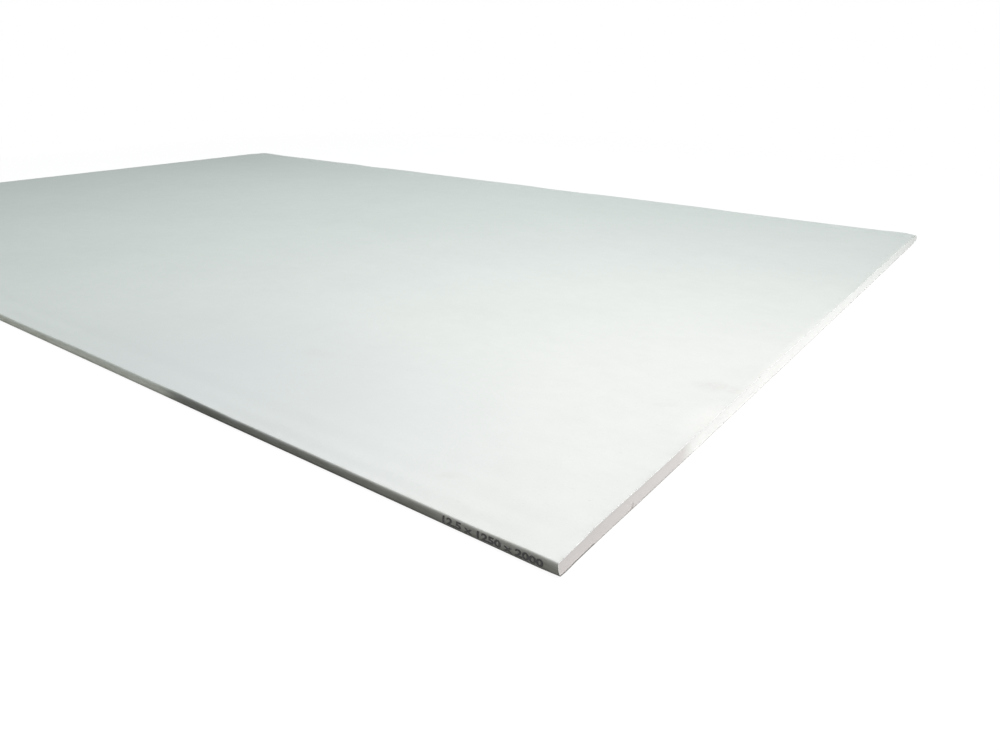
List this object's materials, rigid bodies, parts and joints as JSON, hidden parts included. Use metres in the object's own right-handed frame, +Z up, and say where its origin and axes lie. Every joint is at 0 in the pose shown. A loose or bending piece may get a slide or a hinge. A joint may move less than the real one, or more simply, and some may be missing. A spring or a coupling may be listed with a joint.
{
  "type": "drywall sheet",
  "caption": "Flat paper-lined gypsum board with tapered, rounded long edges and square sawn ends, screwed to studs or joists to line a wall or ceiling.",
  "frame": {"origin": "centre of the back face, which lies on the floor", "axes": "+X along the length of the sheet, +Y across its width, +Z up out of its face"},
  "size_m": [2, 1.25, 0.0125],
  "materials": {
    "lined_board": "matt white liner paper over a pale gypsum core"
  },
  "bodies": {
    "root": {"drywall_sheet": "lined_board"}
  },
  "joints": []
}
